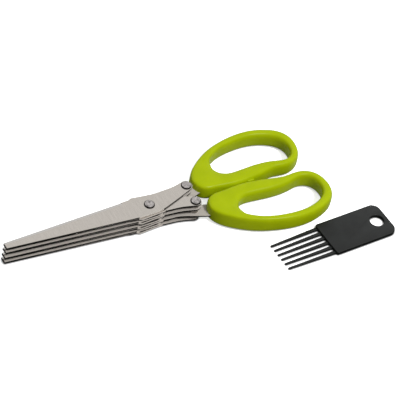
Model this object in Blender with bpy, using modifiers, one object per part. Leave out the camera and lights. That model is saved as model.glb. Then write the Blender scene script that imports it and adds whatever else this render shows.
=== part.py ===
"""Herb scissors: four pairs of blades on one pivot, two looped handles, and a loose comb that cleans the blades.

The closed scissors lie on a flat surface at z = 0. X runs from the blades to the handles, Z is up, and the
origin is on the pivot axis. Half B stays still. Half A turns about the pivot axis, its handle towards +Y.
The blades of half B are those of half A turned over. Its handle is the mirror image, with a longer loop.
"""

import math

import bmesh
import bpy
from mathutils import Matrix, Vector

MM = 0.001

# Stack of blades, with the gaps between its pairs
BLADE_THICKNESS = 1.0 * MM
RUNNING_GAP = 0.05 * MM
OUTER_PAIR_GAP = 1.6 * MM
MIDDLE_PAIR_GAP = 2.2 * MM
PAIR_COUNT = 4
TANG_PAIR = 3

# Front of a blade, half widths measured from the scissors' centre line
TIP_REACH = 91.6 * MM
TIP_EDGE_HALF = 2.2 * MM
TIP_SPINE_HALF = 2.3 * MM
EDGE_END_REACH = 10.0 * MM
EDGE_END_HALF = 7.2 * MM
SHOULDER_REACH = 8.2 * MM
SHOULDER_HALF = 8.1 * MM
SPINE_HALF = 7.1 * MM
GRIND_END_REACH = 15.0 * MM
GRIND_WIDTH = 1.7 * MM
EDGE_LAND = 0.6 * MM

# Arm of a blade, from the pivot to its end rivet
END_RIVET_REACH = 27.2 * MM
END_RIVET_SPREAD = 6.0 * MM
ARM_END_RADIUS = 3.6 * MM
ARM_OUTER_SHARES = ((0.16, 0.95), (0.41, 0.98), (0.66, 1.05))
ARM_INNER_SHARES = ((0.43, -0.56), (0.16, -0.90), (-0.09, -0.98))
ARM_END_FIRST_ANGLE = 116.0
ARM_END_LAST_ANGLE = -68.0
ARM_END_STEPS = 9

# Tang of the third pair, which runs from the end rivet into the handle
TANG_ANGLE = 18.0
TANG_HALF = 4.5 * MM
TANG_LENGTH = 20.5 * MM
TANG_OUTER_START = 3.6 * MM
TANG_INNER_START = 7.0 * MM
TANG_CORNER = 1.5 * MM

# Rivets and spacers
PIVOT_SHANK_RADIUS = 2.0 * MM
END_SHANK_RADIUS = 1.5 * MM
SHANK_FIT = 0.05 * MM
PIVOT_HEAD_RADIUS = 3.2 * MM
END_HEAD_RADIUS = 3.1 * MM
HEAD_HEIGHT = 0.7 * MM
HEAD_ROUND = 0.3 * MM
PIVOT_SPACER_RADIUS = 4.2 * MM
END_SPACER_RADIUS = 2.5 * MM
ROUND_SIDES = 24

# Handle outline, along and across from its near front corner
HANDLE_FRONT = 34.0 * MM
HANDLE_LENGTH = 73.4 * MM
LOOP_B_EXTRA = 2.7 * MM
HANDLE_WIDTH = 36.5 * MM
HANDLE_HEIGHT = 10.8 * MM
HANDLE_RISE = 1.0 * MM
HANDLE_ROUND = 3.4 * MM
HANDLE_STOP_GAP = 0.15 * MM
NARROW_ROUND_SHARE = 0.92
HANDLE_OUTLINE_SHARES = (
    (0.000, 0.31), (0.035, 0.47), (0.100, 0.60), (0.190, 0.735), (0.290, 0.845), (0.400, 0.925),
    (0.510, 0.977), (0.620, 1.000), (0.725, 0.987), (0.825, 0.932), (0.912, 0.850), (0.970, 0.735),
    (0.997, 0.600), (1.000, 0.450), (0.982, 0.300), (0.945, 0.185), (0.893, 0.115), (0.832, 0.082),
    (0.765, 0.086), (0.700, 0.098), (0.628, 0.076), (0.553, 0.047), (0.475, 0.021), (0.365, 0.000),
    (0.258, 0.013), (0.165, 0.038), (0.085, 0.052), (0.023, 0.135),
)

# Finger hole, set by the handle's thickness at its front, rear, inner side and outer side
HOLE_FRONT_WALL = 17.3 * MM
HOLE_REAR_WALL = 5.7 * MM
HOLE_INNER_WALL = 7.95 * MM
HOLE_OUTER_WALL = 5.55 * MM
HOLE_OUTLINE_SHARES = (
    (0.000, 0.410), (0.025, 0.620), (0.070, 0.725), (0.137, 0.815), (0.216, 0.890), (0.313, 0.945),
    (0.427, 0.982), (0.550, 1.000), (0.676, 0.985), (0.795, 0.920), (0.895, 0.815), (0.963, 0.675),
    (0.997, 0.510), (1.000, 0.330), (0.977, 0.160), (0.932, 0.050), (0.870, 0.000), (0.810, 0.005),
    (0.737, 0.050), (0.655, 0.090), (0.557, 0.115), (0.450, 0.118), (0.352, 0.104), (0.245, 0.084),
    (0.143, 0.078), (0.075, 0.130), (0.031, 0.215), (0.006, 0.310),
)
STATION_STEPS = 2
CORNER_POINTS = 4

# Pocket that the tang sits in, and the stop that keeps the handles apart
POCKET_CLEARANCE = 0.3 * MM
STOP_REACH = 68.2 * MM
STOP_LENGTH = 4.6 * MM
STOP_DEPTH = 3.0 * MM
STOP_HEIGHT = 5.0 * MM
STOP_LIFT = 0.8 * MM
STOP_ROUND = 0.7 * MM

# Cleaning comb, which lies flat beside the scissors
COMB_LENGTH = 42.8 * MM
COMB_WIDTH = 24.3 * MM
COMB_THICKNESS = 2.4 * MM
COMB_REAR_CORNER = 5.0 * MM
COMB_FRONT_CORNER = 1.2 * MM
COMB_HOLE_RADIUS = 4.3 * MM
COMB_HOLE_SETBACK = 7.0 * MM
TINE_COUNT = 6
TINE_ROOT_PITCH = 3.98 * MM
TINE_TIP_PITCH = 3.76 * MM
TINE_LENGTH = 32.0 * MM
TINE_ROOT_WIDTH = 2.1 * MM
TINE_TIP_WIDTH = 1.15 * MM
TINE_ROOT_THICKNESS = 1.4 * MM
TINE_TIP_THICKNESS = 1.0 * MM
TINE_SEAT = 1.5 * MM
TINE_LIFT = 0.1 * MM
COMB_BEHIND = 2.75 * MM
COMB_ASIDE = 12.45 * MM
COMB_TURN = 3.8

# Overrun that lets a cutter pass the faces it cuts
OVERRUN = 2.0 * MM
MERGE_DISTANCE = 0.001 * MM
SMOOTH_ANGLE = 35.0

# Sizes that follow from the ones above
PAIR_THICKNESS = 2 * BLADE_THICKNESS + RUNNING_GAP
PAIR_GAPS = (OUTER_PAIR_GAP, MIDDLE_PAIR_GAP, OUTER_PAIR_GAP)
STACK_FLOOR = HEAD_HEIGHT + RUNNING_GAP


def pair_floor(pair):
    """Height of the underside of a pair's lower blade. Pair 1 is the top one."""
    floor = STACK_FLOOR
    for gap in PAIR_GAPS[pair - 1:]:
        floor += PAIR_THICKNESS + gap
    return floor


HANDLE_MIDDLE = pair_floor(TANG_PAIR) + PAIR_THICKNESS / 2 + HANDLE_RISE


def blade_floor(half, pair):
    """Height of the underside of one blade. In each pair the blade of half A lies on that of half B."""
    return pair_floor(pair) + (BLADE_THICKNESS + RUNNING_GAP if half == "a" else 0.0)


# Points and curves

def smooth_through(points, steps, closed=False):
    """Points of a Catmull-Rom curve that runs through the given points."""
    count = len(points)
    spans = count if closed else count - 1
    found = []
    for i in range(spans):
        if closed:
            before, start, end, after = (points[(i + k) % count] for k in (-1, 0, 1, 2))
        else:
            before, start = points[max(i - 1, 0)], points[i]
            end, after = points[i + 1], points[min(i + 2, count - 1)]
        for step in range(steps):
            t = step / steps
            found.append(
                0.5 * (2 * start + (end - before) * t
                       + (2 * before - 5 * start + 4 * end - after) * t ** 2
                       + (3 * start - before - 3 * end + after) * t ** 3)
            )
    if not closed:
        found.append(points[-1])
    return found


def arc(centre, radius, first, last, steps):
    """Points on an arc between two angles in degrees."""
    angles = (math.radians(first + (last - first) * i / steps) for i in range(steps + 1))
    return [centre + radius * Vector((math.cos(t), math.sin(t))) for t in angles]


def circle(centre, radius):
    return arc(centre, radius, 0.0, 360.0, ROUND_SIDES)[:-1]


def rounded_polygon(corners, steps=4):
    """A convex outline given as (point, corner radius), run anticlockwise."""
    outline = []
    count = len(corners)
    for i, (point, radius) in enumerate(corners):
        back = (corners[i - 1][0] - point).normalized()
        ahead = (corners[(i + 1) % count][0] - point).normalized()
        half = back.angle(ahead) / 2
        centre = point + (back + ahead).normalized() * radius / math.sin(half)
        start = math.degrees(math.atan2(*reversed(point + back * radius / math.tan(half) - centre)))
        outline += arc(centre, radius, start, start + 180.0 - math.degrees(2 * half), steps)
    return outline


# Meshes and objects

def material(name, colour, roughness, metallic):
    made = bpy.data.materials.new(name)
    made.use_nodes = True
    shader = made.node_tree.nodes["Principled BSDF"]
    shader.inputs["Base Color"].default_value = (*colour, 1.0)
    shader.inputs["Roughness"].default_value = roughness
    shader.inputs["Metallic"].default_value = metallic
    return made


def place(name, mesh, collection, finish=None, parent=None, location=(0, 0, 0), turn=(0, 0, 0)):
    made = bpy.data.objects.new(name, mesh)
    made.location = location
    made.rotation_euler = turn
    made.parent = parent
    collection.objects.link(made)
    if finish and not mesh.materials:
        mesh.materials.append(finish)
    return made


def flat_plate(outlines, thickness):
    """A plate from z = 0 up: the first outline is its edge and the others are holes."""
    curve = bpy.data.curves.new("outline", "CURVE")
    curve.dimensions = "2D"
    curve.fill_mode = "BOTH"
    curve.extrude = thickness / 2
    for outline in outlines:
        spline = curve.splines.new("POLY")
        spline.points.add(len(outline) - 1)
        spline.use_cyclic_u = True
        for point, (x, y) in zip(spline.points, outline):
            point.co = (x, y, 0.0, 1.0)
    drawn = place("outline", curve, bpy.context.scene.collection)
    mesh = bpy.data.meshes.new_from_object(drawn.evaluated_get(bpy.context.evaluated_depsgraph_get()))
    bpy.data.objects.remove(drawn)
    mesh.transform(Matrix.Translation((0.0, 0.0, thickness / 2)))
    shape = bmesh.new()
    shape.from_mesh(mesh)
    bmesh.ops.remove_doubles(shape, verts=shape.verts, dist=MERGE_DISTANCE)
    bmesh.ops.recalc_face_normals(shape, faces=shape.faces)
    shape.to_mesh(mesh)
    shape.free()
    return mesh


def box_mesh(size, matrix):
    """A box of a size, centred on a matrix's origin and turned with it."""
    shape = bmesh.new()
    bmesh.ops.create_cube(shape, size=1.0, matrix=matrix @ Matrix.Diagonal((*size, 1.0)))
    mesh = bpy.data.meshes.new("box")
    shape.to_mesh(mesh)
    shape.free()
    return mesh


def with_boolean(mesh, others, operation):
    """The mesh with each of the other objects cut from it or joined to it."""
    worked = place("worked", mesh, bpy.context.scene.collection)
    for other in others:
        step = worked.modifiers.new(other.name, "BOOLEAN")
        step.object = other
        step.operation = operation
        step.solver = "EXACT"
    made = bpy.data.meshes.new_from_object(worked.evaluated_get(bpy.context.evaluated_depsgraph_get()))
    bpy.data.objects.remove(worked)
    return made


def helper(name, mesh, collection):
    """A solid that only cuts or joins others."""
    made = place(name, mesh, collection)
    made.hide_render = True
    made.display_type = "WIRE"
    return made


def smooth_shade(mesh):
    mesh.shade_smooth()
    mesh.set_sharp_from_angle(angle=math.radians(SMOOTH_ANGLE))
    return mesh


def turned_object(name, profile, closed, collection, finish, parent, location):
    """A profile of (radius, height) turned about Z."""
    mesh = bpy.data.meshes.new(name)
    count = len(profile)
    edges = [(i, (i + 1) % count) for i in range(count if closed else count - 1)]
    mesh.from_pydata([(radius, 0.0, height) for radius, height in profile], edges, [])
    made = place(name, mesh, collection, finish, parent, location)
    turn = made.modifiers.new("turn", "SCREW")
    turn.steps = ROUND_SIDES
    turn.render_steps = ROUND_SIDES
    turn.use_merge_vertices = True
    turn.merge_threshold = MERGE_DISTANCE
    turn.use_smooth_shade = False
    return made


# Blades

def end_rivet_centre():
    return Vector((END_RIVET_REACH, END_RIVET_SPREAD))


def tang_axis():
    """The tang's direction away from the end rivet, and the direction across it towards its outer side."""
    angle = math.radians(TANG_ANGLE)
    return Vector((math.cos(angle), math.sin(angle))), Vector((-math.sin(angle), math.cos(angle)))


def arm_end():
    """The round end of a plain arm, from its outer side to its inner side."""
    return arc(end_rivet_centre(), ARM_END_RADIUS, ARM_END_FIRST_ANGLE, ARM_END_LAST_ANGLE, ARM_END_STEPS)


def tang_end():
    """The tang's outline, from its outer side round its corners to its inner side."""
    centre = end_rivet_centre()
    along, across = tang_axis()
    outer = centre + across * TANG_HALF
    inner = centre - across * TANG_HALF
    tip = TANG_LENGTH * along
    corner = TANG_CORNER * across
    return [
        outer + along * TANG_OUTER_START,
        outer + tip - along * TANG_CORNER,
        outer + tip - corner,
        inner + tip + corner,
        inner + tip - along * TANG_CORNER,
        inner + along * TANG_INNER_START,
    ]


def blade_outline(rear):
    """Edge of half A's blade, from its tip along the cutting edge, round its rear and back along its spine."""
    tip_edge = Vector((-TIP_REACH, TIP_EDGE_HALF))
    edge_end = Vector((-EDGE_END_REACH, EDGE_END_HALF))
    shoulder = Vector((-SHOULDER_REACH, SHOULDER_HALF))
    outer = [Vector((x * END_RIVET_REACH, y * EDGE_END_HALF)) for x, y in ARM_OUTER_SHARES]
    inner = [Vector((x * END_RIVET_REACH, y * SPINE_HALF)) for x, y in ARM_INNER_SHARES]
    spine_end = Vector((-EDGE_END_REACH, -SPINE_HALF))
    tip_spine = Vector((-TIP_REACH, -TIP_SPINE_HALF))
    outer_run = smooth_through([shoulder, *outer, rear[0]], 3)
    inner_run = smooth_through([rear[-1], *inner, spine_end], 3)
    return [tip_edge, edge_end, *outer_run, *rear[1:-1], *inner_run, tip_spine]


def grind_cutter():
    """The wedge that grinds the cutting edge on the blade's upper face."""
    tip_edge = Vector((-TIP_REACH, TIP_EDGE_HALF, 0.0))
    edge_end = Vector((-EDGE_END_REACH, EDGE_END_HALF, 0.0))
    along = (edge_end - tip_edge).normalized()
    up = Vector((0.0, 0.0, 1.0))
    outward = up.cross(along)
    slope = math.atan((BLADE_THICKNESS - EDGE_LAND) / GRIND_WIDTH)
    down_slope = outward * math.cos(slope) - up * math.sin(slope)
    normal = down_slope.cross(-along)
    grind_end = edge_end - along * (GRIND_END_REACH - EDGE_END_REACH)
    length = (grind_end - tip_edge).length + OVERRUN
    width = 2 * GRIND_WIDTH + OVERRUN
    height = BLADE_THICKNESS + OVERRUN
    grind_line = grind_end - outward * GRIND_WIDTH + up * BLADE_THICKNESS
    centre = grind_line - along * length / 2 + down_slope * GRIND_WIDTH / 2 + normal * height / 2
    turn = Matrix((along, down_slope, normal)).transposed().to_4x4()
    return box_mesh((length, width, height), Matrix.Translation(centre) @ turn)


def blade_mesh(rear, cutters):
    pivot_hole = circle(Vector((0.0, 0.0)), PIVOT_SHANK_RADIUS + SHANK_FIT)
    end_hole = circle(end_rivet_centre(), END_SHANK_RADIUS + SHANK_FIT)
    plate = flat_plate([blade_outline(rear), pivot_hole, end_hole], BLADE_THICKNESS)
    return with_boolean(plate, cutters, "DIFFERENCE")


def make_blades(collection, cutters, steel, parents):
    grind = helper("grind_wedge", grind_cutter(), cutters)
    plain = blade_mesh(arm_end(), [grind])
    tanged = blade_mesh(tang_end(), [grind])
    for half in ("a", "b"):
        for pair in range(1, PAIR_COUNT + 1):
            mesh = tanged if pair == TANG_PAIR else plain
            floor = blade_floor(half, pair)
            if half == "a":
                height, turn = floor, (0.0, 0.0, 0.0)
            else:
                height, turn = floor + BLADE_THICKNESS, (math.pi, 0.0, 0.0)
            place(f"blade_{half}{pair}", mesh, collection, steel, parents[half], (0.0, 0.0, height), turn)


# Rivets and spacers

def rivet_profile(shank, head, floor, ceiling):
    """Half section of a rivet that clamps from floor to ceiling, run down its outer side."""
    slack = RUNNING_GAP
    top = ceiling + slack + HEAD_HEIGHT
    bottom = floor - slack - HEAD_HEIGHT
    edge = HEAD_ROUND
    soft = edge * (1 - math.sqrt(0.5))
    return [
        (0.0, top), (head - edge, top), (head - soft, top - soft), (head, top - edge),
        (head, ceiling + slack), (shank, ceiling + slack), (shank, floor - slack), (head, floor - slack),
        (head, bottom + edge), (head - soft, bottom + soft), (head - edge, bottom), (0.0, bottom),
    ]


def spacer_profile(inner, outer, floor, ceiling):
    """Section of a ring that fills a gap but for the running gap at both faces."""
    low, high = floor + RUNNING_GAP, ceiling - RUNNING_GAP
    return [(outer, high), (outer, low), (inner, low), (inner, high)]


def make_rivets(collection, steel, parents):
    pivot = rivet_profile(
        PIVOT_SHANK_RADIUS, PIVOT_HEAD_RADIUS, blade_floor("b", PAIR_COUNT), blade_floor("a", 1) + BLADE_THICKNESS
    )
    turned_object("pivot_rivet", pivot, False, collection, steel, parents["b"], (0.0, 0.0, 0.0))
    for pair in range(1, PAIR_COUNT):
        ring = spacer_profile(
            PIVOT_SHANK_RADIUS + SHANK_FIT, PIVOT_SPACER_RADIUS,
            blade_floor("a", pair + 1) + BLADE_THICKNESS, blade_floor("b", pair),
        )
        turned_object(f"pivot_spacer_{pair}", ring, True, collection, steel, parents["b"], (0.0, 0.0, 0.0))
    for half, side in (("a", 1), ("b", -1)):
        axis = (END_RIVET_REACH, side * END_RIVET_SPREAD, 0.0)
        rivet = rivet_profile(
            END_SHANK_RADIUS, END_HEAD_RADIUS,
            blade_floor(half, PAIR_COUNT), blade_floor(half, 1) + BLADE_THICKNESS,
        )
        turned_object(f"end_rivet_{half}", rivet, False, collection, steel, parents[half], axis)
        for pair in range(1, PAIR_COUNT):
            ring = spacer_profile(
                END_SHANK_RADIUS + SHANK_FIT, END_SPACER_RADIUS,
                blade_floor(half, pair + 1) + BLADE_THICKNESS, blade_floor(half, pair),
            )
            turned_object(f"end_spacer_{half}{pair}", ring, True, collection, steel, parents[half], axis)


# Handles

def handle_outlines(side):
    """The outer outline and the finger hole of the handle on one side of the centre line, point for point."""
    length = HANDLE_LENGTH + (0.0 if side > 0 else LOOP_B_EXTRA)
    outer = [
        Vector((HANDLE_FRONT + x * length, side * (HANDLE_STOP_GAP + y * HANDLE_WIDTH)))
        for x, y in HANDLE_OUTLINE_SHARES
    ]
    hole_front = HANDLE_FRONT + HOLE_FRONT_WALL
    hole_side = HANDLE_STOP_GAP + HOLE_INNER_WALL
    hole_length = length - HOLE_FRONT_WALL - HOLE_REAR_WALL
    hole_width = HANDLE_WIDTH - HOLE_INNER_WALL - HOLE_OUTER_WALL
    hole = [
        Vector((hole_front + x * hole_length, side * (hole_side + y * hole_width)))
        for x, y in HOLE_OUTLINE_SHARES
    ]
    return smooth_through(outer, STATION_STEPS, True), smooth_through(hole, STATION_STEPS, True)


def handle_section(outer, inner):
    """One section of the loop: a rectangle from the hole to the outside, with well rounded corners."""
    middle = (outer + inner) / 2
    half_width = (outer - inner).length / 2
    half_height = HANDLE_HEIGHT / 2
    outward = (outer - inner).normalized()
    radius = min(HANDLE_ROUND, NARROW_ROUND_SHARE * half_width)
    ring = []
    for quarter, (side, level) in enumerate(((1, 1), (-1, 1), (-1, -1), (1, -1))):
        for step in range(CORNER_POINTS):
            angle = math.pi / 2 * (quarter + step / (CORNER_POINTS - 1))
            reach = side * (half_width - radius) + radius * math.cos(angle)
            height = level * (half_height - radius) + radius * math.sin(angle)
            ring.append((*(middle + outward * reach), height))
    return ring


def handle_loft(side):
    """The loop, lofted through sections that stand across it all the way round."""
    shape = bmesh.new()
    outer, hole = handle_outlines(side)
    rings = [[shape.verts.new(point) for point in handle_section(a, b)] for a, b in zip(outer, hole)]
    for ring, following in zip(rings, rings[1:] + rings[:1]):
        for i in range(len(ring)):
            j = (i + 1) % len(ring)
            shape.faces.new((ring[i], ring[j], following[j], following[i]))
    bmesh.ops.recalc_face_normals(shape, faces=shape.faces)
    mesh = bpy.data.meshes.new("handle")
    shape.to_mesh(mesh)
    shape.free()
    return mesh


def tang_pocket(half_name, side):
    """The slot in a handle that its tang sits in, at the tang's height in the handle."""
    centre = end_rivet_centre()
    along, across = tang_axis()
    half = TANG_HALF + POCKET_CLEARANCE
    end = TANG_LENGTH + POCKET_CLEARANCE
    outline = [
        centre - across * half,
        centre + along * end - across * half,
        centre + along * end + across * half,
        centre + across * half,
    ]
    outline = [Vector((x, side * y)) for x, y in outline]
    mesh = flat_plate([outline], BLADE_THICKNESS + 2 * POCKET_CLEARANCE)
    floor = blade_floor(half_name, TANG_PAIR) - POCKET_CLEARANCE - HANDLE_MIDDLE
    mesh.transform(Matrix.Translation((0.0, 0.0, floor)))
    return mesh


def handle_stop():
    """The small block on half A's handle that rests against the other handle when the scissors are closed."""
    centre = Vector((STOP_REACH, HANDLE_STOP_GAP + STOP_DEPTH / 2, STOP_LIFT))
    mesh = box_mesh((STOP_LENGTH, STOP_DEPTH, STOP_HEIGHT), Matrix.Translation(centre))
    shape = bmesh.new()
    shape.from_mesh(mesh)
    bmesh.ops.bevel(
        shape, geom=shape.edges[:], offset=STOP_ROUND, segments=2, profile=0.5, affect="EDGES", material=-1
    )
    shape.to_mesh(mesh)
    shape.free()
    return mesh


def make_handles(collection, cutters, plastic, parents):
    stop = helper("handle_stop", handle_stop(), cutters)
    for half, side in (("a", 1), ("b", -1)):
        pocket = helper(f"tang_pocket_{half}", tang_pocket(half, side), cutters)
        mesh = with_boolean(handle_loft(side), [pocket], "DIFFERENCE")
        if half == "a":
            mesh = with_boolean(mesh, [stop], "UNION")
        place(f"handle_{half}", smooth_shade(mesh), collection, plastic, parents[half], (0.0, 0.0, HANDLE_MIDDLE))


# Cleaning comb

def comb_plate():
    half = COMB_WIDTH / 2
    front, rear = -COMB_LENGTH / 2, COMB_LENGTH / 2
    outline = rounded_polygon([
        (Vector((front, -half)), COMB_FRONT_CORNER),
        (Vector((rear, -half)), COMB_REAR_CORNER),
        (Vector((rear, half)), COMB_REAR_CORNER),
        (Vector((front, half)), COMB_FRONT_CORNER),
    ])
    hole = circle(Vector((rear - COMB_HOLE_SETBACK, 0.0)), COMB_HOLE_RADIUS)
    return flat_plate([outline, hole], COMB_THICKNESS)


def comb_tine(index):
    """A tine that tapers in width and thickness from its root inside the plate to its tip."""
    mesh = box_mesh((1.0, 1.0, 1.0), Matrix.Translation((0.5, 0.0, 0.0)))
    root = TINE_SEAT - COMB_LENGTH / 2
    tip = -COMB_LENGTH / 2 - TINE_LENGTH
    place_in_row = index - (TINE_COUNT - 1) / 2
    for vertex in mesh.vertices:
        at_tip = vertex.co.x < 0.5
        width = TINE_TIP_WIDTH if at_tip else TINE_ROOT_WIDTH
        thickness = TINE_TIP_THICKNESS if at_tip else TINE_ROOT_THICKNESS
        vertex.co.x = tip if at_tip else root
        pitch = TINE_TIP_PITCH if at_tip else TINE_ROOT_PITCH
        vertex.co.y = place_in_row * pitch + vertex.co.y * width
        vertex.co.z = TINE_LIFT + (vertex.co.z + 0.5) * thickness
    return mesh


def make_comb(collection, cutters, plastic):
    tines = [helper(f"comb_tine_{i + 1}", comb_tine(i), cutters) for i in range(TINE_COUNT)]
    mesh = with_boolean(comb_plate(), tines, "UNION")
    reach = HANDLE_FRONT + HANDLE_LENGTH + LOOP_B_EXTRA + COMB_BEHIND
    aside = HANDLE_STOP_GAP + HANDLE_WIDTH + COMB_ASIDE
    location = (reach, -aside, 0.0)
    place("cleaning_comb", mesh, collection, plastic, None, location, (0.0, 0.0, math.radians(COMB_TURN)))


def pivot_empty(name, collection):
    """An empty on the pivot axis that carries one half of the scissors."""
    return place(name, None, collection)


def main():
    for old in list(bpy.data.objects):
        bpy.data.objects.remove(old)
    parts = bpy.data.collections.new("Herb scissors")
    cutters = bpy.data.collections.new("Cutters")
    bpy.context.scene.collection.children.link(parts)
    bpy.context.scene.collection.children.link(cutters)
    steel = material("satin steel", (0.56, 0.53, 0.50), 0.34, 1.0)
    lime = material("lime plastic", (0.40, 0.52, 0.01), 0.36, 0.0)
    charcoal = material("charcoal plastic", (0.030, 0.032, 0.031), 0.48, 0.0)
    parents = {half: pivot_empty(f"half_{half}", parts) for half in ("a", "b")}
    make_blades(parts, cutters, steel, parents)
    make_rivets(parts, steel, parents)
    make_handles(parts, cutters, lime, parents)
    make_comb(parts, cutters, charcoal)


main()
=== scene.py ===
"""Herb scissors: four pairs of steel blades, two lime green loop handles and a loose charcoal comb."""

import math

import bmesh
import bpy
from mathutils import Matrix, Vector


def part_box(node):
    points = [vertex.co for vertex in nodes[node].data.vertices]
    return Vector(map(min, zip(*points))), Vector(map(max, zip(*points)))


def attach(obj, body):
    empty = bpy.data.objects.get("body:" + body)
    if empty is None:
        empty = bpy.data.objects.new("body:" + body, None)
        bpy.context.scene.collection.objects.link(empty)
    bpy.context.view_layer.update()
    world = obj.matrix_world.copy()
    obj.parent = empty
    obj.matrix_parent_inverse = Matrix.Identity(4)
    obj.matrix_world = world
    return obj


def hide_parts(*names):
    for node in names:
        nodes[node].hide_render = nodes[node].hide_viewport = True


MM = 0.001

# Handles, as the solids have them
HANDLE_FRONT = 34.0 * MM
HANDLE_LENGTH = 73.4 * MM
LOOP_B_EXTRA = 2.7 * MM
HANDLE_WIDTH = 36.5 * MM
HANDLE_HEIGHT = 10.8 * MM
HANDLE_MIDDLE = 6.425 * MM
HANDLE_STOP_GAP = 0.15 * MM
HANDLE_OUTLINE_SHARES = (
    (0.000, 0.31), (0.035, 0.47), (0.100, 0.60), (0.190, 0.735), (0.290, 0.845), (0.400, 0.925),
    (0.510, 0.977), (0.620, 1.000), (0.725, 0.987), (0.825, 0.932), (0.912, 0.850), (0.970, 0.735),
    (0.997, 0.600), (1.000, 0.450), (0.982, 0.300), (0.945, 0.185), (0.893, 0.115), (0.832, 0.082),
    (0.765, 0.086), (0.700, 0.098), (0.628, 0.076), (0.553, 0.047), (0.475, 0.021), (0.365, 0.000),
    (0.258, 0.013), (0.165, 0.038), (0.085, 0.052), (0.023, 0.135),
)
HOLE_FRONT_WALL = 17.3 * MM
HOLE_REAR_WALL = 5.7 * MM
HOLE_INNER_WALL = 7.95 * MM
HOLE_OUTER_WALL = 5.55 * MM
HOLE_OUTLINE_SHARES = (
    (0.000, 0.410), (0.025, 0.620), (0.070, 0.725), (0.137, 0.815), (0.216, 0.890), (0.313, 0.945),
    (0.427, 0.982), (0.550, 1.000), (0.676, 0.985), (0.795, 0.920), (0.895, 0.815), (0.963, 0.675),
    (0.997, 0.510), (1.000, 0.330), (0.977, 0.160), (0.932, 0.050), (0.870, 0.000), (0.810, 0.005),
    (0.737, 0.050), (0.655, 0.090), (0.557, 0.115), (0.450, 0.118), (0.352, 0.104), (0.245, 0.084),
    (0.143, 0.078), (0.075, 0.130), (0.031, 0.215), (0.006, 0.310),
)
OUTLINE_STEPS = 2

# Cross section of the handles: how square it is, from 2 for an ellipse upwards
SECTION_SIDES = 24
SECTION_SQUARENESS = 2.9
SQUARENESS_PER_MM = 0.42
NARROW_HALF_WIDTH = 2.8
MOST_SQUARENESS = 7.0
HOLE_SIDE_SHARE = 0.25

# The stop on the upper handle
STOP_CENTRE = (68.2 * MM, 1.65 * MM, 7.225 * MM)
STOP_SIZE = (4.6 * MM, 3.0 * MM, 5.0 * MM)
STOP_ROUND = 0.8 * MM

# Blades
PAIR_COUNT = 4
BLADE_EDGE_ROUND = 0.08 * MM
SHARP_RADIANS = 0.3
SMOOTH_DEGREES = 25.0
# Where the blades' sides are painted lighter: by the pivot, and where they face the handles
PIVOT_SIDE_START = -10.5 * MM
PIVOT_SIDE_END = 6.5 * MM
LIT_TOWARDS_HANDLES = 0.85
# Painted shade between the blades about the pivot, and the width of its fade
GAP_SHADE_FADE = 1.5 * MM
PAINTED_GAP_SHADE = (0.035, 0.030, 0.026)

# Rivets and spacers, with radii and heights as the solids have them
TURNED_STEPS = 64
TURNED_SHARP_DEGREES = 30.0
# Faces steeper than this take the last finish; on the rivets that is painted shade
TURNED_FLAT = 0.96
DOME_HEIGHT = 0.10 * MM
DOME_STEPS = 6
RIM_ROUND = 0.60 * MM
RIM_STEPS = 8
FOOT_EDGE = 0.3 * MM
PIVOT_HEAD = 3.2 * MM
PIVOT_SHANK = 2.0 * MM
END_HEAD = 3.1 * MM
END_SHANK = 1.5 * MM
LOWEST_A = 1.75 * MM
LOWEST_B = 0.7 * MM
HIGHEST_A = 14.4 * MM
HIGHEST_B = 13.35 * MM
SPACER_PLAY = 0.05 * MM
SPACER_EDGE = 0.08 * MM

# Comb, as the solid has it
COMB_LENGTH = 42.8 * MM
COMB_WIDTH = 24.3 * MM
COMB_THICKNESS = 2.4 * MM
COMB_REAR_CORNER = 5.0 * MM
COMB_FRONT_CORNER = 1.2 * MM
COMB_HOLE_RADIUS = 4.3 * MM
COMB_HOLE_SETBACK = 7.0 * MM
COMB_HOLE_SIDES = 48
COMB_EDGE_ROUND = 0.35 * MM
TINE_COUNT = 6
TINE_ROOT_PITCH = 3.98 * MM
TINE_TIP_PITCH = 3.76 * MM
TINE_LENGTH = 32.0 * MM
TINE_ROOT_WIDTH = 2.1 * MM
TINE_TIP_WIDTH = 1.15 * MM
TINE_ROOT_THICKNESS = 1.4 * MM
TINE_TIP_THICKNESS = 1.0 * MM
TINE_SEAT = 1.5 * MM
TINE_LIFT = 0.1 * MM
TINE_EDGE_ROUND = 0.18 * MM
COMB_SMOOTH_DEGREES = 35.0
COMB_PLACE = (112.85 * MM, -49.1 * MM, 0.0)
COMB_TURN = 3.8

# Camera, fitted to the photo
VIEW_CENTRE = (37.367 * MM, 3.773 * MM, 0.7 * MM)
VIEW_DISTANCE = 1888.4 * MM
VIEW_ELEVATION = 45.393
VIEW_HEADING = 36.640
VIEW_ROLL = 11.928
VIEW_LENS = 293.53

# Room, with slants from -1 on the dim side to about 1 on the bright one
BRIGHT_SIDE = 45.0
BRIGHT_RISE = 0.35
ROOM_DIM, ROOM_BRIGHT = 0.23, 0.54
ROOM_SLANTS = (-0.35, 0.25)
MIRRORED_DIM, MIRRORED_BRIGHT = 0.12, 0.98
MIRRORED_SLANTS = (-0.10, 0.60)

# Table
TABLE_HALF_SIZE = 3.0
TABLE_DROP = 0.05 * MM
TABLE_GLOW = 0.68
BLACK = (0.0, 0.0, 0.0)
WHITE = (1.0, 1.0, 1.0)
BOUNCED_GREY = (0.30, 0.30, 0.30)
CARD_GREY = (0.06, 0.06, 0.06)
PAST_CARD_GREY = (0.65, 0.65, 0.65)
CARD_END = 30.0 * MM
CARD_SIDE = -38.0 * MM
CARD_FADE = 12.0 * MM
CONTACT_REACH = 1.3 * MM
CONTACT_DEPTH = 1.8
CONTACT_SAMPLES = 16

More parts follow.
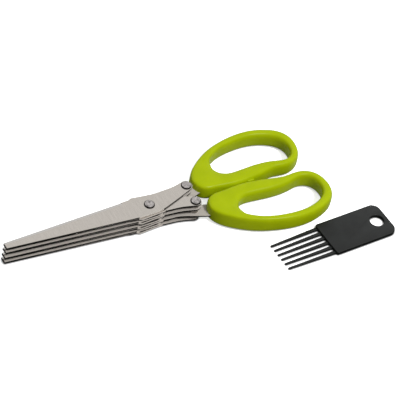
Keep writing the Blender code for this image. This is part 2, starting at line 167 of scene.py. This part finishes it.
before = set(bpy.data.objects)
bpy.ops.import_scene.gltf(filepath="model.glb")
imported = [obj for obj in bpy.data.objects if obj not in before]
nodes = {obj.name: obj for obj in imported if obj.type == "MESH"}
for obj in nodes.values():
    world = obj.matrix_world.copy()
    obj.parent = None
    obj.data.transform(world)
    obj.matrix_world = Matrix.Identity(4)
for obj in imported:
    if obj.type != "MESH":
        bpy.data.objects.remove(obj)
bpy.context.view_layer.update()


# Small helpers

def add_piece(name, shape, finishes, body, stands_for):
    """A finished mesh as a piece that moves with a body and stands for one CAD node."""
    mesh = bpy.data.meshes.new(name)
    shape.to_mesh(mesh)
    shape.free()
    for finish in finishes:
        mesh.materials.append(finish)
    piece = bpy.data.objects.new(name, mesh)
    bpy.context.scene.collection.objects.link(piece)
    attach(piece, body)
    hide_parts(stands_for)
    return piece


def shade_smooth(shape, sharp_degrees=None):
    """Smooth shading all over, except at edges sharper than the given angle."""
    for face in shape.faces:
        face.smooth = True
    if sharp_degrees is not None:
        limit = math.radians(sharp_degrees)
        for edge in shape.edges:
            if len(edge.link_faces) == 2 and edge.calc_face_angle() > limit:
                edge.smooth = False


def smooth_through(points, steps):
    """Points of a closed Catmull-Rom curve that runs through the given points."""
    count = len(points)
    found = []
    for i in range(count):
        before, start, end, after = (points[(i + k) % count] for k in (-1, 0, 1, 2))
        for step in range(steps):
            t = step / steps
            found.append(
                0.5 * (2 * start + (end - before) * t
                       + (2 * before - 5 * start + 4 * end - after) * t ** 2
                       + (3 * start - before - 3 * end + after) * t ** 3)
            )
    return found


# Node helpers

def new_material(name, roughness, metallic):
    finish = bpy.data.materials.new(name)
    finish.use_nodes = True
    shader = finish.node_tree.nodes["Principled BSDF"]
    shader.inputs["Roughness"].default_value = roughness
    shader.inputs["Metallic"].default_value = metallic
    return finish, finish.node_tree, shader


def add_node(tree, kind, values=None, **settings):
    node = tree.nodes.new(kind)
    for key, value in settings.items():
        setattr(node, key, value)
    for key, value in (values or {}).items():
        node.inputs[key].default_value = value
    return node


def math_node(tree, operation, first, second, clamp=False):
    node = add_node(tree, "ShaderNodeMath", operation=operation, use_clamp=clamp)
    for socket, value in zip(node.inputs, (first, second)):
        if isinstance(value, (int, float)):
            socket.default_value = value
        else:
            tree.links.new(value, socket)
    return node.outputs[0]


def remap(tree, value, low, high, to_low, to_high):
    node = add_node(tree, "ShaderNodeMapRange")
    tree.links.new(value, node.inputs["Value"])
    for key, number in (("From Min", low), ("From Max", high), ("To Min", to_low), ("To Max", to_high)):
        node.inputs[key].default_value = number
    return node.outputs["Result"]


def mix_colour(tree, factor, first, second):
    node = add_node(tree, "ShaderNodeMix", data_type="RGBA")
    for socket, value in ((node.inputs[0], factor), (node.inputs[6], first), (node.inputs[7], second)):
        if isinstance(value, (int, float)):
            socket.default_value = value
        elif isinstance(value, tuple):
            socket.default_value = (*value, 1.0)
        else:
            tree.links.new(value, socket)
    return node.outputs[2]


def object_coords(tree, scale):
    """Object coordinates in millimetres, stretched by a scale."""
    coords = add_node(tree, "ShaderNodeTexCoord")
    mapping = add_node(tree, "ShaderNodeMapping", {"Scale": tuple(s / MM for s in scale)})
    tree.links.new(coords.outputs["Object"], mapping.inputs["Vector"])
    return mapping.outputs["Vector"]


def object_parts(tree):
    """The X, Y and Z of the object coordinates."""
    coords = add_node(tree, "ShaderNodeTexCoord")
    parts = add_node(tree, "ShaderNodeSeparateXYZ")
    tree.links.new(coords.outputs["Object"], parts.inputs[0])
    return parts.outputs


def new_group(name, sockets_in, sockets_out):
    group = bpy.data.node_groups.new(name, "ShaderNodeTree")
    for label, kind, default in sockets_in:
        socket = group.interface.new_socket(label, in_out="INPUT", socket_type=kind)
        if default is not None:
            socket.default_value = default
    for label, kind in sockets_out:
        group.interface.new_socket(label, in_out="OUTPUT", socket_type=kind)
    return group, add_node(group, "NodeGroupInput"), add_node(group, "NodeGroupOutput")


def use_group(tree, group, values, vector=None):
    node = add_node(tree, "ShaderNodeGroup", node_tree=group)
    for key, value in values.items():
        node.inputs[key].default_value = value
    if vector is not None:
        tree.links.new(vector, node.inputs["Vector"])
    return node


def brush_lines_group():
    """Fine parallel lines that a grinding belt leaves: a tone mask and a height, both from 0 to 1."""
    group, ins, outs = new_group(
        "brush_lines",
        (("Vector", "NodeSocketVector", None), ("Fineness", "NodeSocketFloat", 1.0),
         ("Patchiness", "NodeSocketFloat", 0.5)),
        (("Tone", "NodeSocketFloat"), ("Height", "NodeSocketFloat")),
    )
    fine = add_node(group, "ShaderNodeTexNoise", {"Detail": 4.0, "Roughness": 0.7})
    group.links.new(ins.outputs["Vector"], fine.inputs["Vector"])
    group.links.new(ins.outputs["Fineness"], fine.inputs["Scale"])
    patches = add_node(group, "ShaderNodeTexNoise", {"Detail": 2.0})
    group.links.new(ins.outputs["Vector"], patches.inputs["Vector"])
    broad = math_node(group, "MULTIPLY", ins.outputs["Fineness"], 0.12)
    group.links.new(broad, patches.inputs["Scale"])
    tone = add_node(group, "ShaderNodeMix", data_type="FLOAT")
    group.links.new(ins.outputs["Patchiness"], tone.inputs[0])
    group.links.new(fine.outputs["Fac"], tone.inputs[2])
    group.links.new(patches.outputs["Fac"], tone.inputs[3])
    group.links.new(tone.outputs[0], outs.inputs["Tone"])
    group.links.new(fine.outputs["Fac"], outs.inputs["Height"])
    return group


def moulded_grain_group():
    """The fine orange peel of moulded plastic: a broad tone mask and a fine height, both from 0 to 1."""
    group, ins, outs = new_group(
        "moulded_grain",
        (("Vector", "NodeSocketVector", None), ("Grain", "NodeSocketFloat", 2.0)),
        (("Tone", "NodeSocketFloat"), ("Height", "NodeSocketFloat")),
    )
    broad = add_node(group, "ShaderNodeTexNoise", {"Scale": 0.11, "Detail": 3.0, "Roughness": 0.5})
    group.links.new(ins.outputs["Vector"], broad.inputs["Vector"])
    fine = add_node(group, "ShaderNodeTexNoise", {"Detail": 3.0, "Roughness": 0.6})
    group.links.new(ins.outputs["Vector"], fine.inputs["Vector"])
    group.links.new(ins.outputs["Grain"], fine.inputs["Scale"])
    group.links.new(broad.outputs["Fac"], outs.inputs["Tone"])
    group.links.new(fine.outputs["Fac"], outs.inputs["Height"])
    return group


BRUSH_LINES = brush_lines_group()
MOULDED_GRAIN = moulded_grain_group()


def add_bump(tree, shader, height, strength, distance):
    bump = add_node(tree, "ShaderNodeBump", {"Strength": strength, "Distance": distance})
    tree.links.new(height, bump.inputs["Height"])
    tree.links.new(bump.outputs["Normal"], shader.inputs["Normal"])


def steel(name, tones, rough, stretch, fineness, bump=0.12, metallic=1.0):
    """Brushed steel between two tones and two roughnesses. The stretch sets which way the lines run."""
    finish, tree, shader = new_material(name, rough[0], metallic)
    vector = object_coords(tree, stretch)
    lines = use_group(tree, BRUSH_LINES, {"Fineness": fineness, "Patchiness": 0.12}, vector)
    tone = remap(tree, lines.outputs["Tone"], 0.32, 0.68, 0.0, 1.0)
    tree.links.new(mix_colour(tree, tone, *tones), shader.inputs["Base Color"])
    roughness = remap(tree, lines.outputs["Tone"], 0.3, 0.7, rough[1], rough[0])
    tree.links.new(roughness, shader.inputs["Roughness"])
    add_bump(tree, shader, lines.outputs["Height"], bump, 0.02 * MM)
    return finish


def paint_gap_shade_by_pivot(finish):
    """Paints shade into a finish about the pivot, darker where the lower blades lie between the others."""
    tree = finish.node_tree
    shader = tree.nodes["Principled BSDF"]
    start, end = PIVOT_SIDE_START + GAP_SHADE_FADE, PIVOT_SIDE_END - GAP_SHADE_FADE
    along = object_parts(tree)["X"]
    begins = remap(tree, along, start, start + GAP_SHADE_FADE, 0.0, 1.0)
    ends = remap(tree, along, end - GAP_SHADE_FADE, end, 1.0, 0.0)
    gap_shaded = math_node(tree, "MULTIPLY", begins, ends, clamp=True)
    clean = shader.inputs["Base Color"].links[0].from_socket
    tree.links.new(mix_colour(tree, gap_shaded, clean, PAINTED_GAP_SHADE), shader.inputs["Base Color"])


def plastic(name, tones, rough, grain, bump, shine):
    """Moulded plastic between two tones and two roughnesses, with a fine grain."""
    finish, tree, shader = new_material(name, rough[0], 0.0)
    shader.inputs["Specular IOR Level"].default_value = shine
    vector = object_coords(tree, (1.0, 1.0, 1.0))
    moulded = use_group(tree, MOULDED_GRAIN, {"Grain": grain}, vector)
    tone = remap(tree, moulded.outputs["Tone"], 0.35, 0.65, 0.0, 1.0)
    tree.links.new(mix_colour(tree, tone, *tones), shader.inputs["Base Color"])
    roughness = remap(tree, moulded.outputs["Height"], 0.3, 0.7, rough[0], rough[1])
    tree.links.new(roughness, shader.inputs["Roughness"])
    add_bump(tree, shader, moulded.outputs["Height"], bump, 0.03 * MM)
    return finish


# The broad faces of the top pair, and the duller ones of the blades below it, with painted shade about the
# pivot
blade_face = steel(
    "blade_face", tones=((0.492, 0.458, 0.419), (0.552, 0.516, 0.472)), rough=(0.20, 0.27),
    stretch=(1.5, 0.12, 1.0), fineness=1.3, bump=0.06,
)
blade_satin = steel(
    "blade_satin", tones=((0.45, 0.415, 0.375), (0.53, 0.49, 0.445)), rough=(0.85, 0.95),
    stretch=(0.25, 1.6, 1.0), fineness=2.2, bump=0.06, metallic=0.1,
)
paint_gap_shade_by_pivot(blade_satin)

# The blades' narrow sides: dark ones, painted with shade and a dark reflection, and lit ones, painted lighter
# by the pivot and where they face the handles; and the ground bevel
shaded_blade_side = steel(
    "shaded_blade_side", tones=((0.055, 0.051, 0.047), (0.11, 0.103, 0.096)), rough=(0.28, 0.36),
    stretch=(1.2, 1.2, 0.15), fineness=1.5,
)
lit_blade_side = steel(
    "lit_blade_side", tones=((0.62, 0.57, 0.52), (0.78, 0.72, 0.65)), rough=(0.6, 0.75),
    stretch=(1.0, 1.0, 0.2), fineness=2.0, bump=0.06, metallic=0.1,
)
blade_bevel = steel(
    "blade_bevel", tones=((0.46, 0.44, 0.42), (0.60, 0.58, 0.55)), rough=(0.22, 0.34),
    stretch=(2.6, 0.15, 1.0), fineness=2.6,
)

rivet_face = steel(
    "rivet_face", tones=((0.10, 0.09, 0.088), (0.72, 0.68, 0.66)), rough=(0.24, 0.36),
    stretch=(0.5, 0.5, 1.0), fineness=1.5, bump=0.6,
)
# Near-black rims and sides of the rivet heads: painted shade and a dark reflection
shaded_rivet_side = steel(
    "shaded_rivet_side", tones=((0.008, 0.007, 0.006), (0.02, 0.018, 0.016)), rough=(0.3, 0.4),
    stretch=(1.0, 1.0, 3.0), fineness=2.0,
)
spacer_face = steel(
    "spacer_face", tones=((0.30, 0.28, 0.26), (0.42, 0.40, 0.37)), rough=(0.3, 0.42),
    stretch=(0.3, 0.3, 4.0), fineness=2.0,
)

lime_plastic = plastic(
    "lime_plastic", tones=((0.355, 0.45, 0.001), (0.385, 0.48, 0.002)), rough=(0.27, 0.34),
    grain=2.4, bump=0.10, shine=0.09,
)
charcoal_plastic = plastic(
    "charcoal_plastic", tones=((0.004, 0.005, 0.0045), (0.009, 0.0105, 0.010)), rough=(0.36, 0.48),
    grain=5.0, bump=0.35, shine=0.33,
)


# Handles

def outline_points(side):
    """The outer outline and the finger hole of one handle, point for point, as the solids have them."""
    length = HANDLE_LENGTH + (0.0 if side > 0 else LOOP_B_EXTRA)
    outer = [
        Vector((HANDLE_FRONT + x * length, side * (HANDLE_STOP_GAP + y * HANDLE_WIDTH)))
        for x, y in HANDLE_OUTLINE_SHARES
    ]
    hole_front = HANDLE_FRONT + HOLE_FRONT_WALL
    hole_side = HANDLE_STOP_GAP + HOLE_INNER_WALL
    hole_length = length - HOLE_FRONT_WALL - HOLE_REAR_WALL
    hole_width = HANDLE_WIDTH - HOLE_INNER_WALL - HOLE_OUTER_WALL
    hole = [
        Vector((hole_front + x * hole_length, side * (hole_side + y * hole_width)))
        for x, y in HOLE_OUTLINE_SHARES
    ]
    return smooth_through(outer, OUTLINE_STEPS), smooth_through(hole, OUTLINE_STEPS)


def section_ring(shape, outer, inner):
    """A soft rectangular section across the handle, rounder on the side of the finger hole."""
    across = (outer - inner) / 2
    middle = (outer + inner) / 2
    half_height = HANDLE_HEIGHT / 2
    gain = SQUARENESS_PER_MM * (across.length / MM - NARROW_HALF_WIDTH)
    squareness = min(SECTION_SQUARENESS + gain, MOST_SQUARENESS)
    by_hole = SECTION_SQUARENESS + HOLE_SIDE_SHARE * (squareness - SECTION_SQUARENESS)
    ring = bmesh.ops.create_circle(shape, segments=SECTION_SIDES, radius=1.0)["verts"]
    for vertex in ring:
        power = 2.0 / (by_hole if vertex.co.x < 0.0 else squareness)
        reach = math.copysign(abs(vertex.co.x) ** power, vertex.co.x)
        level = math.copysign(abs(vertex.co.y) ** power, vertex.co.y)
        spot = middle + across * reach
        vertex.co = (spot.x, spot.y, HANDLE_MIDDLE + half_height * level)
    return ring


def ring_edges(ring):
    """The edges that join the ring's own vertices."""
    members = set(ring)
    return list({
        edge for vertex in ring for edge in vertex.link_edges if edge.other_vert(vertex) in members
    })


def handle(name, side, body, stands_for):
    """A looped handle: a changing section led round the finger hole. Side 1 is half A, which has the stop."""
    shape = bmesh.new()
    outer, hole = outline_points(side)
    rings = [section_ring(shape, a, b) for a, b in zip(outer, hole)]
    loops = [ring_edges(ring) for ring in rings]
    for loop, following in zip(loops, loops[1:] + loops[:1]):
        bmesh.ops.bridge_loops(shape, edges=loop + following)
    bmesh.ops.recalc_face_normals(shape, faces=shape.faces)
    shade_smooth(shape)
    if side > 0:
        stop = bmesh.ops.create_cube(
            shape, size=1.0, matrix=Matrix.Translation(STOP_CENTRE) @ Matrix.Diagonal((*STOP_SIZE, 1.0))
        )["verts"]
        edges = list({edge for vertex in stop for edge in vertex.link_edges})
        bmesh.ops.bevel(
            shape, geom=edges, offset=STOP_ROUND, offset_type="OFFSET", segments=3, profile=0.5,
            affect="EDGES", material=-1,
        )
        shade_smooth(shape)
    piece = add_piece(name, shape, (lime_plastic,), body, stands_for)
    smooth = piece.modifiers.new("smooth", "SUBSURF")
    smooth.levels = 2
    smooth.render_levels = smooth.levels


handle("upper_handle", 1, "half_a", "handle_a")
handle("lower_handle", -1, "half_b", "handle_b")


# Blades

def blade_faces(shape, lowest):
    """Gives each face its finish: 0 for broad faces, 2 for the ground bevel, 3 for the sides painted lighter
    by the pivot and towards the handles, and 1 for the sides and the undersides within the stack, painted
    dark as shade."""
    for face in shape.faces:
        level = face.normal.z
        broad = level > 0.99 or (lowest and level < -0.99)
        by_pivot = PIVOT_SIDE_START < face.calc_center_median().x < PIVOT_SIDE_END
        light = abs(level) < 0.5 and (by_pivot or face.normal.x > LIT_TOWARDS_HANDLES)
        face.material_index = 0 if broad else 2 if level > 0.8 else 3 if light else 1


def blade(node_name, body, broad, lowest):
    """A blade from its solid, with softened edges."""
    shape = bmesh.new()
    shape.from_mesh(nodes[node_name].data)
    bmesh.ops.remove_doubles(shape, verts=shape.verts, dist=0.002 * MM)
    bmesh.ops.dissolve_limit(
        shape, angle_limit=math.radians(1.0), verts=shape.verts, edges=shape.edges, delimit={"NORMAL"}
    )
    shape.normal_update()
    blade_faces(shape, lowest)
    sharp = [
        edge for edge in shape.edges
        if len(edge.link_faces) == 2 and edge.calc_face_angle() > SHARP_RADIANS
    ]
    bmesh.ops.bevel(
        shape, geom=sharp, offset=BLADE_EDGE_ROUND, offset_type="OFFSET", segments=2, profile=0.5,
        affect="EDGES", material=-1, clamp_overlap=True,
    )
    shade_smooth(shape, SMOOTH_DEGREES)
    for edge in shape.edges:
        if any(abs(face.normal.z) > 0.95 for face in edge.link_faces):
            edge.smooth = False
    finishes = (broad, shaded_blade_side, blade_bevel, lit_blade_side)
    add_piece(f"{node_name}_steel", shape, finishes, body, node_name)


for pair in range(1, PAIR_COUNT + 1):
    top_face = blade_face if pair == 1 else blade_satin
    blade(f"blade_a{pair}", "half_a", top_face, pair == PAIR_COUNT)
    blade(f"blade_b{pair}", "half_b", top_face, pair == PAIR_COUNT)


# Rivets and spacers

def turned(name, profile, centre, finishes, body, stands_for, closed=False):
    """A profile of (radius, height) turned about an upright axis. Level faces take the first finish, the
    others the last, which on the rivets is painted shade.
    """
    shape = bmesh.new()
    points = [shape.verts.new((centre[0] + radius, centre[1], height)) for radius, height in profile]
    pairs = list(zip(points, points[1:] + (points[:1] if closed else [])))
    edges = [shape.edges.new(pair) for pair in pairs]
    bmesh.ops.spin(
        shape, geom=points + edges, cent=(*centre, 0.0), axis=(0.0, 0.0, 1.0), angle=2 * math.pi,
        steps=TURNED_STEPS, use_merge=True,
    )
    bmesh.ops.remove_doubles(shape, verts=shape.verts, dist=0.001 * MM)
    bmesh.ops.recalc_face_normals(shape, faces=shape.faces)
    for face in shape.faces:
        face.material_index = 0 if abs(face.normal.z) > TURNED_FLAT else len(finishes) - 1
    shade_smooth(shape, TURNED_SHARP_DEGREES)
    add_piece(name, shape, finishes, body, stands_for)


def rivet(name, node_name, body, head, shank, floor, ceiling):
    """A rivet with a low domed head above and a flat one below, which clamp from floor to ceiling."""
    low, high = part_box(node_name)
    centre = ((low[0] + high[0]) / 2, (low[1] + high[1]) / 2)
    bottom, top = low[2], high[2]
    crown = []
    for step in range(DOME_STEPS + 1):
        reach = step / DOME_STEPS * (head - RIM_ROUND)
        crown.append((reach, top - DOME_HEIGHT * (reach / head) ** 2))
    rim_top = crown[-1][1]
    for step in range(1, RIM_STEPS + 1):
        angle = math.pi / 2 * step / RIM_STEPS
        crown.append((
            head - RIM_ROUND + RIM_ROUND * math.sin(angle), rim_top - RIM_ROUND * (1 - math.cos(angle))
        ))
    under = [(head, ceiling), (shank, ceiling), (shank, floor), (head, floor)]
    foot = [(head, bottom + FOOT_EDGE), (head - FOOT_EDGE, bottom), (0.0, bottom)]
    profile = crown + under + foot
    turned(name, profile, centre, (rivet_face, shaded_rivet_side), body, node_name)


def spacer(node_name, body, inner):
    """A ring with softened outer edges."""
    low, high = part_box(node_name)
    centre = ((low[0] + high[0]) / 2, (low[1] + high[1]) / 2)
    outer = (high[0] - low[0]) / 2
    bottom, top = low[2], high[2]
    profile = [
        (inner, top), (outer - SPACER_EDGE, top), (outer, top - SPACER_EDGE),
        (outer, bottom + SPACER_EDGE), (outer - SPACER_EDGE, bottom), (inner, bottom),
    ]
    turned(
        f"{node_name}_ring", profile, centre, (spacer_face,), body, node_name, closed=True
    )


rivet("pivot_rivet_steel", "pivot_rivet", "half_b", PIVOT_HEAD, PIVOT_SHANK, LOWEST_B, HIGHEST_A)
rivet("upper_end_rivet", "end_rivet_a", "half_a", END_HEAD, END_SHANK, LOWEST_A, HIGHEST_A)
rivet("lower_end_rivet", "end_rivet_b", "half_b", END_HEAD, END_SHANK, LOWEST_B, HIGHEST_B)
for gap in range(1, PAIR_COUNT):
    spacer(f"pivot_spacer_{gap}", "half_b", PIVOT_SHANK + SPACER_PLAY)
    spacer(f"end_spacer_a{gap}", "half_a", END_SHANK + SPACER_PLAY)
    spacer(f"end_spacer_b{gap}", "half_b", END_SHANK + SPACER_PLAY)


# Comb

def comb_plate(shape):
    """The comb's plate with round corners, a round hole and softened edges."""
    half_x, half_y = COMB_LENGTH / 2, COMB_WIDTH / 2
    curve = bpy.data.curves.new("comb_outline", "CURVE")
    curve.dimensions = "2D"
    curve.fill_mode = "BOTH"
    curve.extrude = COMB_THICKNESS / 2 - COMB_EDGE_ROUND
    curve.bevel_depth = COMB_EDGE_ROUND
    curve.bevel_resolution = 2
    curve.offset = -COMB_EDGE_ROUND
    corners = (
        (half_x, half_y, COMB_REAR_CORNER, 0.0), (-half_x, half_y, COMB_FRONT_CORNER, 90.0),
        (-half_x, -half_y, COMB_FRONT_CORNER, 180.0), (half_x, -half_y, COMB_REAR_CORNER, 270.0),
    )
    outline = []
    for x, y, radius, start in corners:
        centre = Vector((x - math.copysign(radius, x), y - math.copysign(radius, y)))
        for step in range(11):
            angle = math.radians(start + 9.0 * step)
            outline.append(centre + radius * Vector((math.cos(angle), math.sin(angle))))
    hole_x = half_x - COMB_HOLE_SETBACK
    hole = [
        Vector((hole_x + COMB_HOLE_RADIUS * math.cos(t), COMB_HOLE_RADIUS * math.sin(t)))
        for t in (2 * math.pi * i / COMB_HOLE_SIDES for i in range(COMB_HOLE_SIDES))
    ]
    for points in (outline, hole):
        spline = curve.splines.new("POLY")
        spline.points.add(len(points) - 1)
        spline.use_cyclic_u = True
        for point, (x, y) in zip(spline.points, points):
            point.co = (x, y, 0.0, 1.0)
    drawn = bpy.data.objects.new("comb_outline", curve)
    bpy.context.scene.collection.objects.link(drawn)
    mesh = bpy.data.meshes.new_from_object(drawn.evaluated_get(bpy.context.evaluated_depsgraph_get()))
    bpy.data.objects.remove(drawn)
    mesh.transform(Matrix.Translation((0.0, 0.0, COMB_THICKNESS / 2)))
    shape.from_mesh(mesh)
    bpy.data.meshes.remove(mesh)
    bmesh.ops.remove_doubles(shape, verts=shape.verts, dist=0.001 * MM)


def comb_tine(shape, index):
    """A tapered tine, thicker and wider at its root, with softened edges."""
    made = bmesh.ops.create_cube(shape, size=1.0)["verts"]
    across = index - (TINE_COUNT - 1) / 2
    for vertex in made:
        at_tip = vertex.co.x < 0.0
        width = TINE_TIP_WIDTH if at_tip else TINE_ROOT_WIDTH
        thickness = TINE_TIP_THICKNESS if at_tip else TINE_ROOT_THICKNESS
        pitch = TINE_TIP_PITCH if at_tip else TINE_ROOT_PITCH
        vertex.co.x = -COMB_LENGTH / 2 - TINE_LENGTH if at_tip else TINE_SEAT - COMB_LENGTH / 2
        vertex.co.y = across * pitch + vertex.co.y * width
        vertex.co.z = TINE_LIFT + (vertex.co.z + 0.5) * thickness
    edges = list({edge for vertex in made for edge in vertex.link_edges})
    bmesh.ops.bevel(
        shape, geom=edges, offset=TINE_EDGE_ROUND, offset_type="OFFSET", segments=3, profile=0.5,
        affect="EDGES", material=-1,
    )


def comb():
    """The plate and its tines, turned and put beside the lower handle."""
    shape = bmesh.new()
    comb_plate(shape)
    for index in range(TINE_COUNT):
        comb_tine(shape, index)
    bmesh.ops.recalc_face_normals(shape, faces=shape.faces)
    turn = Matrix.Translation(COMB_PLACE) @ Matrix.Rotation(math.radians(COMB_TURN), 4, "Z")
    bmesh.ops.transform(shape, matrix=turn, verts=shape.verts)
    shade_smooth(shape, COMB_SMOOTH_DEGREES)
    add_piece("comb_moulding", shape, (charcoal_plastic,), "comb", "cleaning_comb")


comb()


# Table, light and camera

def seen_straight(tree, path):
    """1 where the table or the room is seen by the camera or through something clear."""
    return math_node(tree, "MAXIMUM", path.outputs["Is Camera Ray"], path.outputs["Is Transmission Ray"])


def table_finish():
    """White to the camera, with a painted contact shadow, from ambient occlusion, where something rests on
    it. It lights the object as a grey table. The object mirrors a dark card in it, which ends under the
    handles."""
    finish, tree, shader = new_material("table_white", 0.9, 0.0)
    path = add_node(tree, "ShaderNodeLightPath")
    place = object_parts(tree)
    past_end = remap(tree, place["X"], CARD_END, CARD_END + CARD_FADE, 0.0, 1.0)
    past_side = remap(tree, place["Y"], CARD_SIDE, CARD_SIDE + CARD_FADE, 0.0, 1.0)
    past_card = math_node(tree, "MULTIPLY", past_end, past_side)
    mirrored = mix_colour(tree, past_card, CARD_GREY, PAST_CARD_GREY)
    bounced = mix_colour(tree, path.outputs["Is Glossy Ray"], BOUNCED_GREY, mirrored)
    contact = add_node(
        tree, "ShaderNodeAmbientOcclusion", {"Distance": CONTACT_REACH}, samples=CONTACT_SAMPLES
    )
    open_table = math_node(tree, "POWER", contact.outputs["AO"], CONTACT_DEPTH)
    to_camera = mix_colour(tree, open_table, BLACK, WHITE)
    straight = seen_straight(tree, path)
    colour = mix_colour(tree, straight, bounced, to_camera)
    tree.links.new(colour, shader.inputs["Base Color"])
    shader.inputs["Specular IOR Level"].default_value = 0.0
    seen = math_node(tree, "MULTIPLY", straight, TABLE_GLOW)
    glow = math_node(tree, "MULTIPLY", seen, open_table)
    tree.links.new(glow, shader.inputs["Emission Strength"])
    shader.inputs["Emission Color"].default_value = (*WHITE, 1.0)
    return finish


def table():
    """A wide pale table, just under the lowest faces."""
    shape = bmesh.new()
    bmesh.ops.create_grid(shape, x_segments=1, y_segments=1, size=TABLE_HALF_SIZE)
    mesh = bpy.data.meshes.new("table")
    shape.to_mesh(mesh)
    shape.free()
    mesh.materials.append(table_finish())
    top = bpy.data.objects.new("table", mesh)
    top.location = (0.0, 0.0, -TABLE_DROP)
    bpy.context.scene.collection.objects.link(top)


def room():
    """A soft white room, bright behind the handles and dim on the camera's side. The camera sees it white."""
    world = bpy.data.worlds.new("soft_room")
    world.use_nodes = True
    tree = world.node_tree
    background = tree.nodes["Background"]
    heading = math.radians(BRIGHT_SIDE)
    coords = add_node(tree, "ShaderNodeTexCoord")
    slant = add_node(tree, "ShaderNodeVectorMath", operation="DOT_PRODUCT")
    slant.inputs[1].default_value = (math.cos(heading), math.sin(heading), BRIGHT_RISE)
    tree.links.new(coords.outputs["Generated"], slant.inputs[0])
    lit = remap(tree, slant.outputs["Value"], *ROOM_SLANTS, ROOM_DIM, ROOM_BRIGHT)
    mirrored = remap(tree, slant.outputs["Value"], *MIRRORED_SLANTS, MIRRORED_DIM, MIRRORED_BRIGHT)
    path = add_node(tree, "ShaderNodeLightPath")
    strength = add_node(tree, "ShaderNodeMix", data_type="FLOAT")
    tree.links.new(path.outputs["Is Glossy Ray"], strength.inputs[0])
    tree.links.new(lit, strength.inputs[2])
    tree.links.new(mirrored, strength.inputs[3])
    seen = math_node(tree, "MAXIMUM", seen_straight(tree, path), strength.outputs[0])
    tree.links.new(seen, background.inputs["Strength"])
    background.inputs["Color"].default_value = (*WHITE, 1.0)
    bpy.context.scene.world = world


def soft_box(name, azimuth, elevation, distance, size, power):
    """A rectangular lamp that faces the scissors. Azimuth 0 is +X and 90 is +Y."""
    light = bpy.data.lights.new(name, "AREA")
    light.shape = "RECTANGLE"
    light.size, light.size_y = size
    light.energy = power
    lamp = bpy.data.objects.new(name, light)
    turn, rise = math.radians(azimuth), math.radians(elevation)
    outward = Vector((
        math.cos(turn) * math.cos(rise), math.sin(turn) * math.cos(rise), math.sin(rise)
    ))
    lamp.location = Vector(VIEW_CENTRE) + distance * outward
    lamp.rotation_euler = (-outward).to_track_quat("-Z", "Y").to_euler()
    bpy.context.scene.collection.objects.link(lamp)


def camera():
    """The camera at the photo's angle. The heading turns from +Y towards +X."""
    heading, elevation, roll = (math.radians(v) for v in (VIEW_HEADING, VIEW_ELEVATION, VIEW_ROLL))
    right = Vector((math.cos(heading), -math.sin(heading), 0.0))
    ahead = Vector((
        math.sin(heading) * math.cos(elevation), math.cos(heading) * math.cos(elevation), -math.sin(elevation)
    ))
    up = right.cross(ahead)
    x_axis = math.cos(roll) * right + math.sin(roll) * up
    y_axis = math.cos(roll) * up - math.sin(roll) * right
    data = bpy.data.cameras.new("camera")
    data.lens = VIEW_LENS
    data.sensor_width = 36.0
    data.clip_start = 0.1
    data.clip_end = 20.0
    view = bpy.data.objects.new("camera", data)
    turn = Matrix((x_axis, y_axis, -ahead)).transposed().to_4x4()
    view.matrix_world = Matrix.Translation(Vector(VIEW_CENTRE) - VIEW_DISTANCE * ahead) @ turn
    bpy.context.scene.collection.objects.link(view)
    bpy.context.scene.camera = view


table()
room()
soft_box("key_light", azimuth=288.0, elevation=56.0, distance=1.2, size=(0.25, 0.25), power=10.4)
soft_box("back_light", azimuth=118.0, elevation=34.0, distance=1.0, size=(0.5, 0.4), power=0.9)
camera()
bpy.context.scene.view_settings.view_transform = "Standard"
